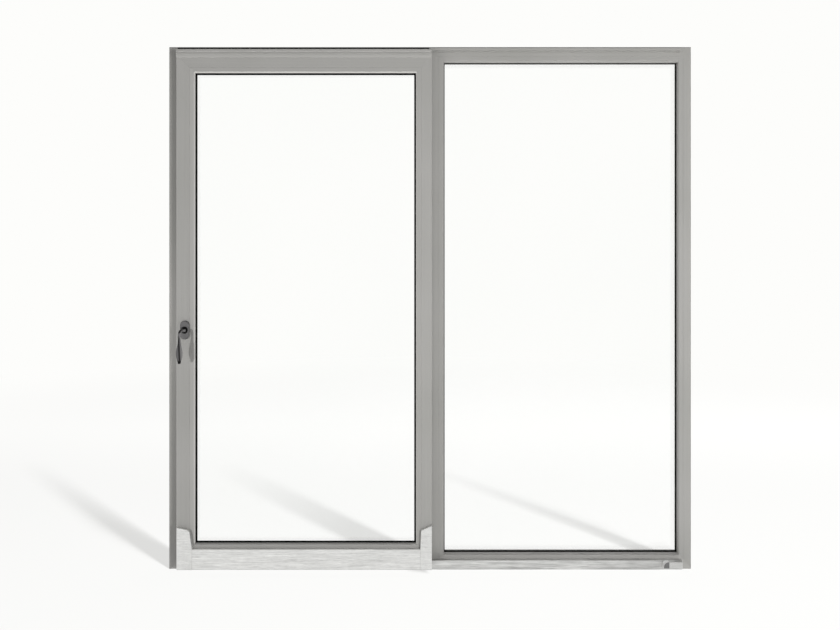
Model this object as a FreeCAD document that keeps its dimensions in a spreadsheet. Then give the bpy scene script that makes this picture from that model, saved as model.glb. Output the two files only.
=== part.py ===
import FreeCAD, Part
import Sketcher
import math
import os
import re

# A parallel sliding patio window: a fixed light on the right of a mullion, and on the left a
# door-height leaf that runs to the right in front of the fixed light on a bottom rail.
# X points right as seen from the room, Y points to the outside, Z points up.
# The origin is the middle of the sill's underside.

doc = FreeCAD.newDocument("SlidingWindow")
sheet = doc.addObject("Spreadsheet::Sheet", "Sizes")

# Driving dimensions in millimetres
sizes = {
    # Outer frame
    "frame_width": 2000,
    "frame_height": 2000,
    "frame_depth": 70,
    "frame_wall": 3,
    "frame_bevel": 3,
    "left_jamb_face": 65,
    "right_jamb_face": 50,
    "head_face": 57,
    "sill_face": 58,
    "rebate": 20,
    "lip_depth": 18,
    "lip_setback": 10,
    "mullion_left": -12,
    "mullion_face": 65,
    "fixing_radius": 4,
    "fixing_height": 250,
    # Glazing
    "pane": 4,
    "fixed_cavity": 16,
    "leaf_cavity": 12,
    "gasket": 3,
    "gasket_grip": 8,
    "leaf_gasket_sight": 6,
    "fixed_gasket_sight": 4,
    "mullion_gasket_sight": 2,
    "wedge": 6,
    "outside_grip": 4,
    "outside_sight": 1,
    "glass_gap": 5,
    "spacer_inset": 3,
    "spacer_height": 9,
    "bead_bevel": 4,
    "bead_joint": 0.4,
    # Seal on the frame around the opening
    "seal_inset": 4,
    "seal_width": 8,
    "seal_proud": 3,
    # Sliding leaf
    "leaf_inset": 46,
    "meeting_overlap": 19,
    "leaf_drop": 38,
    "leaf_ride": 5,
    "leaf_clear": 5,
    "leaf_wall": 3,
    "leaf_bevel": 2,
    "leaf_lip": 7,
    "leaf_bead_depth": 9,
    "lock_stile_face": 70,
    "meeting_stile_face": 60,
    "top_rail_face": 75,
    "bottom_rail_face": 67,
    "groove_width": 24,
    "groove_depth": 31,
    # Running rail, carriages and end stop
    "rail_bottom": 12,
    "rail_base": 28,
    "rail_wall": 3,
    "rail_inset": 46,
    "rib_width": 6,
    "rib_height": 6,
    "carriage_length": 120,
    "carriage_inset": 90,
    "carriage_wall": 2.5,
    "carriage_side_gap": 0.3,
    "wheel_radius": 15,
    "wheel_tread": 12,
    "wheel_width": 12,
    "wheel_clear": 0.3,
    "wheel_spacing": 70,
    "tread_clear": 1,
    "axle_radius": 4,
    "axle_clear": 0.1,
    "stop_length": 51,
    "stop_height": 23,
    "stop_depth": 21,
    "stop_inset": 5,
    "stop_rise": 13,
    "stop_round": 2,
    "buffer_length": 20,
    "buffer_round": 17,
    # Top guide
    "guide_drop": 11.5,
    "guide_height": 9,
    "guide_depth": 24,
    "guide_inset": 42,
    "guide_slot": 10,
    "guide_slot_depth": 6.5,
    "shoe_length": 50,
    "shoe_width": 24,
    "shoe_base": 5,
    "shoe_clear": 1,
    "shoe_inset": 70,
    # Covers on the leaf
    "top_cover_lap": 18,
    "top_cover_rise": 14,
    "top_cover_thick": 4,
    "top_cover_wall": 3,
    "top_cover_return": 5,
    "top_cover_bevel": 2,
    "top_cover_groove": 1.4,
    "top_cover_line": 11,
    "top_cover_foot": 1,
    "top_seal_thick": 3,
    "top_seal_height": 6.5,
    "top_seal_left": 5,
    "top_seal_right": 10,
    "cover_bottom": 24,
    "cover_height": 76,
    "cover_proud": 14,
    "cover_wall": 2.5,
    "cover_flange": 30,
    "cover_lip": 9,
    "cover_bevel": 2,
    "cap_proud": 16,
    "cap_wall": 3,
    "cap_round": 2.5,
    "left_cap_inset": 6,
    "left_cap_base": 58,
    "left_cap_width": 47,
    "left_cap_height": 158,
    "left_cap_slope": 10,
    "left_cap_corner": 16,
    "right_cap_base": 44,
    "right_cap_width": 41,
    "right_cap_height": 165,
    "right_cap_slope": 17,
    "right_cap_corner": 8,
    # Handle
    "handle_inset": 33,
    "handle_height": 920,
    "rosette_width": 33,
    "rosette_height": 70,
    "rosette_thick": 9,
    "rosette_round": 4,
    "spindle_radius": 6,
    "spindle_depth": 6,
    "spindle_clear": 0.3,
    "hub_radius": 13.5,
    "hub_length": 22,
    "hub_taper": -18,
    "neck_radius": 5,
    "neck_flat": 0.6,
    "lever_reach": 51,
    "lever_drop": 119,
    "elbow_radius": 16,
    "waist_width": 10,
    "blade_width": 24,
    "blade_thick": 9,
    "tip_width": 9,
    "tip_thick": 7,
}

for row, (name, number) in enumerate(sizes.items(), start=1):
    sheet.set(f"A{row}", name)
    sheet.set(f"B{row}", str(number))
    sheet.setAlias(f"B{row}", name)
doc.recompute()

# Places worked out from the driving dimensions
places = {
    "room_face": "-frame_depth / 2",
    "outside_face": "frame_depth / 2",
    "lip_face": "outside_face - lip_depth",
    "frame_left": "-frame_width / 2",
    "frame_right": "frame_width / 2",
    "opening_left": "frame_left + left_jamb_face",
    "opening_top": "frame_height - head_face",
    "head_body": "opening_top + rebate",
    "sill_body": "sill_face - rebate",
    "sill_lip": "sill_face - lip_setback",
    "head_lip": "opening_top + lip_setback",
    "mullion_right": "mullion_left + mullion_face",
    "mullion_body": "mullion_right - rebate",
    "fixed_right": "frame_right - right_jamb_face",
    "jamb_body": "fixed_right + rebate",
    "jamb_lip": "fixed_right + lip_setback",
    "fixed_outer_pane": "lip_face - gasket",
    "fixed_inner_pane": "fixed_outer_pane - pane - fixed_cavity",
    "fixed_bead_back": "fixed_inner_pane - pane - wedge",
    "leaf_back": "room_face - seal_proud - leaf_clear",
    "leaf_lip_face": "leaf_back - leaf_lip",
    "leaf_outer_pane": "leaf_lip_face - gasket",
    "leaf_inner_pane": "leaf_outer_pane - pane - leaf_cavity",
    "leaf_bead_back": "leaf_inner_pane - pane - gasket",
    "leaf_front": "leaf_bead_back - leaf_bead_depth",
    "leaf_middle": "(leaf_back + leaf_front) / 2",
    "leaf_left": "frame_left + leaf_inset",
    "leaf_right": "mullion_left + meeting_overlap",
    "leaf_top": "frame_height - leaf_drop",
    "leaf_bottom": "rib_top + leaf_ride",
    "leaf_sight_left": "leaf_left + lock_stile_face",
    "leaf_sight_right": "leaf_right - meeting_stile_face",
    "leaf_sight_top": "leaf_top - top_rail_face",
    "leaf_sight_bottom": "leaf_bottom + bottom_rail_face",
    "groove_front": "leaf_middle - groove_width / 2",
    "groove_back": "leaf_middle + groove_width / 2",
    "groove_top": "leaf_bottom + groove_depth",
    "rail_top": "rail_bottom + rail_base",
    "rail_front": "leaf_middle - rib_width / 2",
    "rib_top": "rail_top + rib_height",
    "axle_height": "rib_top + wheel_clear + wheel_tread",
    "stop_right": "frame_right - rail_inset - stop_inset",
    "stop_left": "stop_right - stop_length",
    "guide_top": "frame_height - guide_drop",
    "guide_bottom": "guide_top - guide_height",
    "guide_front": "room_face - guide_depth",
    "guide_middle": "room_face - guide_depth / 2",
    "top_cover_front": "leaf_front - top_cover_thick",
    "top_cover_low": "leaf_top - top_cover_lap",
    "top_cover_high": "leaf_top + top_cover_rise",
    "cover_front": "leaf_front - cover_proud",
    "cover_top": "cover_bottom + cover_height",
    "left_cap_left": "leaf_left + left_cap_inset",
    "cover_left": "left_cap_left + left_cap_base",
    "cover_right": "leaf_right - right_cap_base",
    "handle_across": "leaf_left + handle_inset",
    "rosette_front": "leaf_front - rosette_thick",
    "lever_depth": "rosette_front - lever_reach",
}


def formula(text):
    """Spell a size formula out in references to the sheet."""

    def expand(match):
        word = match.group(0)
        if word in places:
            return f"({formula(places[word])})"
        return f"{sheet.Name}.{word}"

    return re.sub(r"[a-z_]+", expand, text)


def value(text):
    return float(sheet.evalExpression(formula(text)))


def new_body(label):
    body = doc.addObject("PartDesign::Body", label)
    body.Label = label
    return body


def new_sketch(body, plane_role, height):
    """A sketch on one of the body's own planes, lifted along the plane's normal."""
    plane = next(item for item in body.Origin.OriginFeatures if item.Role == plane_role)
    sketch = body.newObject("Sketcher::SketchObject", f"{body.Name}_outline")
    sketch.AttachmentSupport = [(plane, "")]
    sketch.MapMode = "FlatFace"
    sketch.setExpression("AttachmentOffset.Base.z", formula(height))
    return sketch


def bind(sketch, kind, place, text):
    index = sketch.addConstraint(Sketcher.Constraint(kind, *place, value(text)))
    sketch.setExpression(f"Constraints[{index}]", formula(text))


def pin(sketch, shape, point, across, up):
    """Hold a point of a sketch at a place given by two size formulas."""
    bind(sketch, "DistanceX", (-1, 1, shape, point), across)
    bind(sketch, "DistanceY", (-1, 1, shape, point), up)


def draw_ring(sketch, corners):
    """A closed ring of straight sides."""
    spots = [FreeCAD.Vector(value(across), value(up), 0) for across, up in corners]
    first = sketch.GeometryCount
    count = len(spots)
    for index in range(count):
        sketch.addGeometry(Part.LineSegment(spots[index], spots[(index + 1) % count]))
    for index in range(count):
        following = first + (index + 1) % count
        sketch.addConstraint(Sketcher.Constraint("Coincident", first + index, 2, following, 1))
    for index, (across, up) in enumerate(corners):
        pin(sketch, first + index, 1, across, up)


def draw_circle(sketch, across, up, radius):
    centre = FreeCAD.Vector(value(across), value(up), 0)
    shape = sketch.addGeometry(Part.Circle(centre, FreeCAD.Vector(0, 0, 1), value(radius)))
    pin(sketch, shape, 3, across, up)
    bind(sketch, "Radius", (shape,), radius)


def draw_rings(sketch, rings):
    for corners in rings:
        draw_ring(sketch, corners)


def add_pad(body, sketch, length):
    pad = body.newObject("PartDesign::Pad", f"{body.Name}_pad")
    pad.Profile = sketch
    pad.setExpression("Length", formula(length))
    return pad


def add_cut(body, sketch):
    """Cut right through on both sides of the sketch, and make sure that it removes something."""
    doc.recompute()
    before = body.Shape.Volume
    cut = body.newObject("PartDesign::Pocket", f"{body.Name}_cut")
    cut.Profile = sketch
    cut.SideType = "Two sides"
    cut.Type = "ThroughAll"
    cut.Type2 = "ThroughAll"
    doc.recompute()
    if cut.Shape.Volume >= before:
        raise RuntimeError(f"{body.Label}: a cut removes nothing")
    return cut


def extrude(label, plane_role, start, length, rings):
    body = new_body(label)
    sketch = new_sketch(body, plane_role, start)
    draw_rings(sketch, rings)
    add_pad(body, sketch, length)
    return body


def cut_rings(body, plane_role, rings):
    sketch = new_sketch(body, plane_role, "0")
    draw_rings(sketch, rings)
    return add_cut(body, sketch)


def rectangle(left, bottom, right, top):
    return [(left, bottom), (right, bottom), (right, top), (left, top)]


def upright(label, edge, side, bottom, top, section, cuts):
    """A vertical bar: its section runs inwards from its outer edge, side is + or -."""
    rings = [[(f"{edge} {side} ({inward})", depth) for inward, depth in ring] for ring in section]
    body = extrude(label, "XY_Plane", bottom, f"{top} - ({bottom})", rings)
    cut_rings(body, "XZ_Plane", cuts)
    return body


def crossbar(label, edge, side, left, right, section, cuts):
    """A horizontal bar: its section runs inwards from its outer edge, side is + or -."""
    rings = [[(depth, f"{edge} {side} ({inward})") for inward, depth in ring] for ring in section]
    body = extrude(label, "YZ_Plane", left, f"{right} - ({left})", rings)
    cut_rings(body, "XZ_Plane", cuts)
    return body


# Sections of the extruded profiles, as (distance inwards from the outer edge, depth)
def frame_section(face):
    body = f"{face} - rebate"
    lip = f"{face} - lip_setback"
    outline = [
        ("0", "outside_face"),
        (lip, "outside_face"),
        (lip, "lip_face"),
        (body, "lip_face"),
        (body, "room_face"),
        ("frame_bevel", "room_face"),
        ("0", "room_face + frame_bevel"),
    ]
    chamber = rectangle(
        "frame_wall", "room_face + frame_wall", f"{body} - frame_wall", "outside_face - frame_wall"
    )
    return [outline, chamber]


def plain_jamb_section():
    outline = [
        ("0", "outside_face"),
        ("left_jamb_face", "outside_face"),
        ("left_jamb_face", "room_face"),
        ("frame_bevel", "room_face"),
        ("0", "room_face + frame_bevel"),
    ]
    chamber = rectangle(
        "frame_wall",
        "room_face + frame_wall",
        "left_jamb_face - frame_wall",
        "outside_face - frame_wall",
    )
    return [outline, chamber]


def leaf_section(face):
    body = f"{face} - rebate"
    lip = f"{face} - lip_setback"
    outline = [
        ("0", "leaf_back"),
        (lip, "leaf_back"),
        (lip, "leaf_lip_face"),
        (body, "leaf_lip_face"),
        (body, "leaf_front"),
        ("leaf_bevel", "leaf_front"),
        ("0", "leaf_front + leaf_bevel"),
    ]
    chamber = rectangle(
        "leaf_wall", "leaf_front + leaf_wall", f"{body} - leaf_wall", "leaf_back - leaf_wall"
    )
    return [outline, chamber]


def leaf_bottom_section():
    outline = leaf_section("bottom_rail_face")[0]
    groove = [
        ("0", "groove_front"),
        ("groove_depth", "groove_front"),
        ("groove_depth", "groove_back"),
        ("0", "groove_back"),
    ]
    return [outline + groove]


def bead_section(front, back):
    return [
        [
            ("0", back),
            ("rebate", back),
            ("rebate", f"{front} + bead_bevel"),
            ("rebate - bead_bevel", front),
            ("bead_joint", front),
            ("0", f"{front} + bead_joint"),
        ]
    ]


# Corner cuts: the seam runs from the outer corner over the body's inner corner to the lip's corner
def upright_ends(outer, body, lip, ends):
    cuts = []
    for outer_end, body_end, lip_end in ends:
        corners = [(outer, outer_end), (lip, outer_end), (lip, lip_end)]
        if lip != body:
            corners.append((body, body_end))
        cuts.append(corners)
    return cuts


def crossbar_ends(outer, body, lip, ends):
    cuts = []
    for outer_end, body_end, lip_end in ends:
        cuts.append([(outer_end, outer), (outer_end, lip), (lip_end, lip), (body_end, body)])
    return cuts


def make_frame():
    floor = ("0", "sill_body", "sill_lip")
    ceiling = ("frame_height", "head_body", "head_lip")
    left_end = ("frame_left", "opening_left", "opening_left")
    right_end = ("frame_right", "jamb_body", "jamb_lip")
    plain_floor = ("0", "sill_body", "sill_body")
    plain_ceiling = ("frame_height", "head_body", "head_body")
    left_jamb = upright(
        "left_jamb",
        "frame_left",
        "+",
        "0",
        "frame_height",
        plain_jamb_section(),
        upright_ends("frame_left", "opening_left", "opening_left", [plain_floor, plain_ceiling]),
    )
    right_jamb = upright(
        "right_jamb",
        "frame_right",
        "-",
        "0",
        "frame_height",
        frame_section("right_jamb_face"),
        upright_ends("frame_right", "jamb_body", "jamb_lip", [floor, ceiling]),
    )
    crossbar(
        "sill",
        "0",
        "+",
        "frame_left",
        "frame_right",
        frame_section("sill_face"),
        crossbar_ends("0", "sill_body", "sill_lip", [left_end, right_end]),
    )
    crossbar(
        "head",
        "frame_height",
        "-",
        "frame_left",
        "frame_right",
        frame_section("head_face"),
        crossbar_ends("frame_height", "head_body", "head_lip", [left_end, right_end]),
    )
    for jamb in (left_jamb, right_jamb):
        sketch = new_sketch(jamb, "YZ_Plane", "0")
        for height in ("fixing_height", "frame_height - fixing_height"):
            draw_circle(sketch, "0", height, "fixing_radius")
        add_cut(jamb, sketch)


def make_mullion():
    outline = [
        ("mullion_left", "outside_face"),
        ("mullion_right - lip_setback", "outside_face"),
        ("mullion_right - lip_setback", "lip_face"),
        ("mullion_body", "lip_face"),
        ("mullion_body", "room_face"),
        ("mullion_left", "room_face"),
    ]
    chamber = rectangle(
        "mullion_left + frame_wall",
        "room_face + frame_wall",
        "mullion_body - frame_wall",
        "outside_face - frame_wall",
    )
    body = extrude("mullion", "XY_Plane", "sill_body", "head_body - sill_body", [outline, chamber])
    notches = [
        rectangle("lip_face", "sill_body", "outside_face", "sill_lip"),
        rectangle("lip_face", "head_lip", "outside_face", "head_body"),
    ]
    cut_rings(body, "YZ_Plane", notches)


def make_opening_trims():
    for label, low, high in (
        ("opening_trim_top", "opening_top", "head_body"),
        ("opening_trim_bottom", "sill_body", "sill_face"),
    ):
        tube = [
            rectangle("room_face", low, "lip_face", high),
            rectangle(
                "room_face + frame_wall",
                f"{low} + frame_wall",
                "lip_face - frame_wall",
                f"{high} - frame_wall",
            ),
        ]
        extrude(label, "YZ_Plane", "opening_left", "mullion_left - opening_left", tube)


def make_beads(name, front, back, body_box, sight_box):
    left, bottom, right, top = body_box
    sight_left, sight_bottom, sight_right, sight_top = sight_box
    section = bead_section(front, back)
    heights = [(bottom, sight_bottom), (top, sight_top)]
    widths = [(left, sight_left), (right, sight_right)]
    for label, edge, side, sight in (
        (f"{name}_left", left, "+", sight_left),
        (f"{name}_right", right, "-", sight_right),
    ):
        ends = [[(edge, outer), (sight, outer), (sight, inner)] for outer, inner in heights]
        upright(label, edge, side, bottom, top, section, ends)
    for label, edge, side, sight in (
        (f"{name}_bottom", bottom, "+", sight_bottom),
        (f"{name}_top", top, "-", sight_top),
    ):
        ends = [[(outer, edge), (outer, sight), (inner, sight)] for outer, inner in widths]
        crossbar(label, edge, side, left, right, section, ends)


def grown(box, amount):
    left, bottom, right, top = box
    return (
        f"{left} - ({amount})",
        f"{bottom} - ({amount})",
        f"{right} + ({amount})",
        f"{top} + ({amount})",
    )


def sheet_ring(label, back, thickness, rings):
    """Flat rings or plates that stand upright, from their back towards the room."""
    return extrude(label, "XZ_Plane", f"-({back})", thickness, rings)


def make_glazing(name, sight_box, clear_box, lip, outer_pane, inner_pane, cavity, room_depth):
    glass = rectangle(*grown(sight_box, "rebate - glass_gap"))
    spacer = [
        rectangle(*grown(sight_box, "rebate - glass_gap - spacer_inset")),
        rectangle(*grown(sight_box, "rebate - glass_gap - spacer_inset - spacer_height")),
    ]
    room_gasket = [
        rectangle(*grown(sight_box, "gasket_grip")),
        rectangle(*clear_box),
    ]
    outside_gasket = [
        rectangle(*grown(sight_box, "lip_setback + outside_grip")),
        rectangle(*grown(sight_box, "lip_setback - outside_sight")),
    ]
    sheet_ring(f"{name}_gasket_outside", lip, "gasket", outside_gasket)
    sheet_ring(f"{name}_pane_outside", outer_pane, "pane", [glass])
    sheet_ring(f"{name}_spacer", f"{outer_pane} - pane", cavity, spacer)
    sheet_ring(f"{name}_pane_room", inner_pane, "pane", [glass])
    sheet_ring(f"{name}_gasket_room", f"{inner_pane} - pane", room_depth, room_gasket)


def make_opening_seal():
    opening = ("opening_left", "sill_face", "mullion_left", "opening_top")
    rings = [
        rectangle(*grown(opening, "seal_inset + seal_width")),
        rectangle(*grown(opening, "seal_inset")),
    ]
    sheet_ring("opening_seal", "room_face", "seal_proud", rings)


def make_leaf_frame():
    low = ("leaf_bottom", "leaf_sight_bottom - rebate", "leaf_sight_bottom - lip_setback")
    high = ("leaf_top", "leaf_sight_top + rebate", "leaf_sight_top + lip_setback")
    left = ("leaf_left", "leaf_sight_left - rebate", "leaf_sight_left - lip_setback")
    right = ("leaf_right", "leaf_sight_right + rebate", "leaf_sight_right + lip_setback")
    groove = [rectangle("groove_front", "leaf_bottom", "groove_back", "groove_top")]
    for label, ends, side, face in (
        ("lock_stile", left, "+", "lock_stile_face"),
        ("meeting_stile", right, "-", "meeting_stile_face"),
    ):
        section = leaf_section(face)
        cuts = upright_ends(*ends, [low, high])
        stile = upright(label, ends[0], side, "leaf_bottom", "leaf_top", section, cuts)
        cut_rings(stile, "YZ_Plane", groove)
    for label, ends, side, section in (
        ("leaf_top_rail", high, "-", leaf_section("top_rail_face")),
        ("leaf_bottom_rail", low, "+", leaf_bottom_section()),
    ):
        cuts = crossbar_ends(*ends, [left, right])
        crossbar(label, ends[0], side, "leaf_left", "leaf_right", section, cuts)


def make_running_rail():
    """A hollow rail on the frame's face; the wheels run on the lip along its front edge."""
    rib_back = "leaf_middle + rib_width / 2"
    outline = [
        ("room_face", "rail_bottom"),
        ("room_face", "rail_top"),
        (rib_back, "rail_top"),
        (rib_back, "rib_top"),
        ("rail_front", "rib_top"),
        ("rail_front", "rail_bottom"),
    ]
    chamber = rectangle(
        "rail_front + rail_wall",
        "rail_bottom + rail_wall",
        "room_face - rail_wall",
        "rail_top - rail_wall",
    )
    start = "frame_left + rail_inset"
    length = "frame_width - 2 * rail_inset"
    extrude("running_rail", "YZ_Plane", start, length, [outline, chamber])


def make_stop():
    """A block on the rail's front face, with a quarter-round buffer that meets the leaf's cap."""
    low = "rail_bottom + stop_rise"
    high = f"{low} + stop_height"
    block = rectangle("stop_left", low, "stop_right", high)
    stop = sheet_ring("rail_stop", "rail_front", "stop_depth", [block])
    doc.recompute()
    round_front(stop, "rail_front - stop_depth", "stop_round")
    start = "stop_left - buffer_length"
    cushion = rectangle(start, low, "stop_left", high)
    buffer = sheet_ring("rail_buffer", "rail_front", "stop_depth", [cushion])
    corner = new_sketch(buffer, "XZ_Plane", "0")
    draw_quarter_corner(corner, start, high, "buffer_round")
    add_cut(buffer, corner)


def draw_quarter_corner(sketch, left, high, radius):
    """The corner outside a quarter round, at the upper left."""
    foot_height = f"{high} - {radius}"
    crown_across = f"{left} + {radius}"
    corner = FreeCAD.Vector(value(left), value(high), 0)
    foot = FreeCAD.Vector(value(left), value(foot_height), 0)
    crown = FreeCAD.Vector(value(crown_across), value(high), 0)
    centre = FreeCAD.Vector(crown.x, foot.y, 0)
    outward = FreeCAD.Vector(-1, 1, 0).normalize()
    middle = centre + outward * value(radius)
    arc = sketch.addGeometry(Part.Arc(crown, middle, foot))
    side = sketch.addGeometry(Part.LineSegment(foot, corner))
    top = sketch.addGeometry(Part.LineSegment(corner, crown))
    sketch.addConstraint(Sketcher.Constraint("Coincident", arc, 2, side, 1))
    sketch.addConstraint(Sketcher.Constraint("Coincident", side, 2, top, 1))
    sketch.addConstraint(Sketcher.Constraint("Coincident", top, 2, arc, 1))
    pin(sketch, side, 1, left, foot_height)
    pin(sketch, top, 1, left, high)
    pin(sketch, top, 2, crown_across, high)
    bind(sketch, "Radius", (arc,), radius)


def make_carriages():
    front = "groove_front + carriage_side_gap"
    back = "groove_back - carriage_side_gap"
    top = "groove_top"
    bottom = "axle_height - axle_radius * 2"
    channel = [
        (front, bottom),
        (front, top),
        (back, top),
        (back, bottom),
        (f"{back} - carriage_wall", bottom),
        (f"{back} - carriage_wall", f"{top} - carriage_wall"),
        (f"{front} + carriage_wall", f"{top} - carriage_wall"),
        (f"{front} + carriage_wall", bottom),
    ]
    middles = {
        "left": "leaf_left + carriage_inset + carriage_length / 2",
        "right": "leaf_right - carriage_inset - carriage_length / 2",
    }
    for name, middle in middles.items():
        start = f"{middle} - carriage_length / 2"
        body = extrude(f"{name}_carriage", "YZ_Plane", start, "carriage_length", [channel])
        sketch = new_sketch(body, "XZ_Plane", "0")
        for side in ("-", "+"):
            across = f"{middle} {side} wheel_spacing / 2"
            draw_circle(sketch, across, "axle_height", "axle_radius + axle_clear")
        add_cut(body, sketch)
    wheels = []
    for middle in middles.values():
        for side in ("-", "+"):
            wheels.append(make_wheel(f"{middle} {side} wheel_spacing / 2"))
    joined = doc.addObject("Part::Compound", "carriage_wheels")
    joined.Links = wheels
    return joined


def make_wheel(across):
    """A grooved wheel turned about its axle, which reaches through the carriage's two sides."""
    body = doc.addObject("PartDesign::Body", "wheel")
    tread = "wheel_tread"
    half = "wheel_width / 2"
    rib = "rib_width / 2 + tread_clear"
    axle = "groove_width / 2 - carriage_side_gap"
    profile = [
        ("0", f"-({axle})"),
        ("axle_radius", f"-({axle})"),
        ("axle_radius", f"-({half})"),
        ("wheel_radius", f"-({half})"),
        (tread, f"-({rib})"),
        (tread, rib),
        ("wheel_radius", half),
        ("axle_radius", half),
        ("axle_radius", axle),
        ("0", axle),
    ]
    sketch = new_sketch(body, "XY_Plane", "0")
    draw_ring(sketch, profile)
    turn = body.newObject("PartDesign::Revolution", "wheel_turn")
    turn.Profile = sketch
    turn.ReferenceAxis = (sketch, ["V_Axis"])
    turn.Angle = 360
    body.setExpression("Placement.Base.x", formula(across))
    body.setExpression("Placement.Base.y", formula("leaf_middle"))
    body.setExpression("Placement.Base.z", formula("axle_height"))
    return body


def make_guide():
    """A slotted rail along the head, and two shoes on the leaf whose tongues run in its slot."""
    slot_front = "guide_middle - guide_slot / 2"
    slot_back = "guide_middle + guide_slot / 2"
    section = [
        ("room_face", "guide_bottom"),
        ("room_face", "guide_top"),
        ("guide_front", "guide_top"),
        ("guide_front", "guide_bottom"),
        (slot_front, "guide_bottom"),
        (slot_front, "guide_bottom + guide_slot_depth"),
        (slot_back, "guide_bottom + guide_slot_depth"),
        (slot_back, "guide_bottom"),
    ]
    start = "frame_left + guide_inset"
    extrude("guide_rail", "YZ_Plane", start, "frame_width - 2 * guide_inset", [section])
    tongue_front = f"{slot_front} + shoe_clear"
    tongue_back = f"{slot_back} - shoe_clear"
    tongue_top = "guide_bottom + guide_slot_depth - shoe_clear"
    shoe = [
        (tongue_back, "leaf_top"),
        (tongue_back, tongue_top),
        (tongue_front, tongue_top),
        (tongue_front, "leaf_top + shoe_base"),
        (f"{tongue_back} - shoe_width", "leaf_top + shoe_base"),
        (f"{tongue_back} - shoe_width", "leaf_top"),
    ]
    shoes = []
    for start in ("leaf_left + shoe_inset", "leaf_right - shoe_inset - shoe_length"):
        shoes.append(extrude("shoe", "YZ_Plane", start, "shoe_length", [shoe]))
    joined = doc.addObject("Part::Compound", "guide_shoes")
    joined.Links = shoes
    return joined


def draw_bulge(sketch, outline, through):
    """A closed ring of straight sides whose last side is an arc through a given point."""
    spots = [FreeCAD.Vector(value(across), value(up), 0) for across, up in outline]
    middle = FreeCAD.Vector(value(through[0]), value(through[1]), 0)
    lines = []
    for one, following in zip(spots, spots[1:]):
        lines.append(sketch.addGeometry(Part.LineSegment(one, following)))
    arc = sketch.addGeometry(Part.Arc(spots[-1], middle, spots[0]))
    crown = sketch.addGeometry(Part.Point(middle))
    sketch.setConstruction(crown, True)
    for one, following in zip(lines, lines[1:]):
        sketch.addConstraint(Sketcher.Constraint("Coincident", one, 2, following, 1))
    for line, (across, up) in zip(lines, outline):
        pin(sketch, line, 1, across, up)
    pin(sketch, lines[-1], 2, *outline[-1])
    ends = [(lines[0], 1), (lines[-1], 2)]
    arc_ends = [sketch.getPoint(arc, end) for end in (1, 2)]
    for shape, end in ends:
        spot = sketch.getPoint(shape, end)
        nearest = 1 if spot.distanceToPoint(arc_ends[0]) < spot.distanceToPoint(arc_ends[1]) else 2
        sketch.addConstraint(Sketcher.Constraint("Coincident", arc, nearest, shape, end))
    pin(sketch, crown, 1, *through)
    sketch.addConstraint(Sketcher.Constraint("PointOnObject", crown, 1, arc))


def make_top_cover():
    """A profile along the leaf's top: a lip, a groove and a convex front below it."""
    line = "top_cover_high - top_cover_line"
    outline = [
        ("leaf_front - top_cover_foot", "top_cover_low"),
        ("leaf_front", "top_cover_low"),
        ("leaf_front", "top_cover_high - top_cover_wall"),
        ("leaf_front + top_cover_return", "top_cover_high - top_cover_wall"),
        ("leaf_front + top_cover_return", "top_cover_high"),
        ("top_cover_front + top_cover_bevel", "top_cover_high"),
        ("top_cover_front", "top_cover_high - top_cover_bevel"),
        ("top_cover_front", f"{line} + top_cover_groove"),
        ("top_cover_front + top_cover_groove", line),
    ]
    crown = ("top_cover_front", f"({line} + top_cover_low) / 2")
    body = new_body("top_cover")
    sketch = new_sketch(body, "YZ_Plane", "leaf_left")
    draw_bulge(sketch, outline, crown)
    add_pad(body, sketch, "leaf_right - leaf_left")
    seal_back = "leaf_front + top_cover_return"
    seal_left = "leaf_left + top_seal_left"
    seal_right = "leaf_right - top_seal_right"
    seal = rectangle(
        f"{seal_back} - top_seal_thick",
        "top_cover_high",
        seal_back,
        "top_cover_high + top_seal_height",
    )
    extrude("top_seal", "YZ_Plane", seal_left, f"{seal_right} - ({seal_left})", [seal])


def make_bottom_cover():
    inside = "cover_front + cover_wall"
    section = [
        ("leaf_front", "cover_top"),
        ("cover_front + cover_bevel", "cover_top"),
        ("cover_front", "cover_top - cover_bevel"),
        ("cover_front", "cover_bottom + cover_bevel"),
        ("cover_front + cover_bevel", "cover_bottom"),
        ("cover_front + cover_lip", "cover_bottom"),
        ("cover_front + cover_lip", "cover_bottom + cover_wall"),
        (inside, "cover_bottom + cover_wall"),
        (inside, "cover_top - cover_wall"),
        ("leaf_front - cover_wall", "cover_top - cover_wall"),
        ("leaf_front - cover_wall", "cover_top - cover_flange"),
        ("leaf_front", "cover_top - cover_flange"),
    ]
    extrude("bottom_cover", "YZ_Plane", "cover_left", "cover_right - cover_left", [section])


def make_cap(label, outer, inward, base, width, height, slope, corner):
    """A moulded end cap, open at its back, that rises from the cover up the stile."""
    high = f"cover_bottom + {height}"
    shoulder = f"{high} - {slope}"
    outline = [
        (outer, "cover_bottom"),
        (f"{outer} {inward} {base}", "cover_bottom"),
        (f"{outer} {inward} {base}", "cover_top"),
        (f"{outer} {inward} {width}", shoulder),
        (outer, high),
    ]
    body = sheet_ring(label, "leaf_front", "cap_proud", [outline])
    doc.recompute()
    pad = body.Tip
    bend = body.newObject("PartDesign::Fillet", f"{label}_shoulder")
    bend.Base = (pad, edge_at(pad.Shape, f"{outer} {inward} {width}", shoulder))
    bend.setExpression("Radius", formula(corner))
    doc.recompute()
    rear = flat_at(bend.Shape.Faces, "Face", value("leaf_front"))
    hollow = body.newObject("PartDesign::Thickness", f"{label}_hollow")
    hollow.Base = (bend, rear)
    hollow.setExpression("Value", formula("cap_wall"))
    hollow.Reversed = True
    hollow.Join = 1
    doc.recompute()
    if hollow.Shape.Volume >= bend.Shape.Volume:
        raise RuntimeError(f"{label}: the cap was not hollowed")
    round_front(body, "leaf_front - cap_proud", "cap_round")


flat_tolerance = 0.01
facing_room = 0
facing_down = 90


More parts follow.
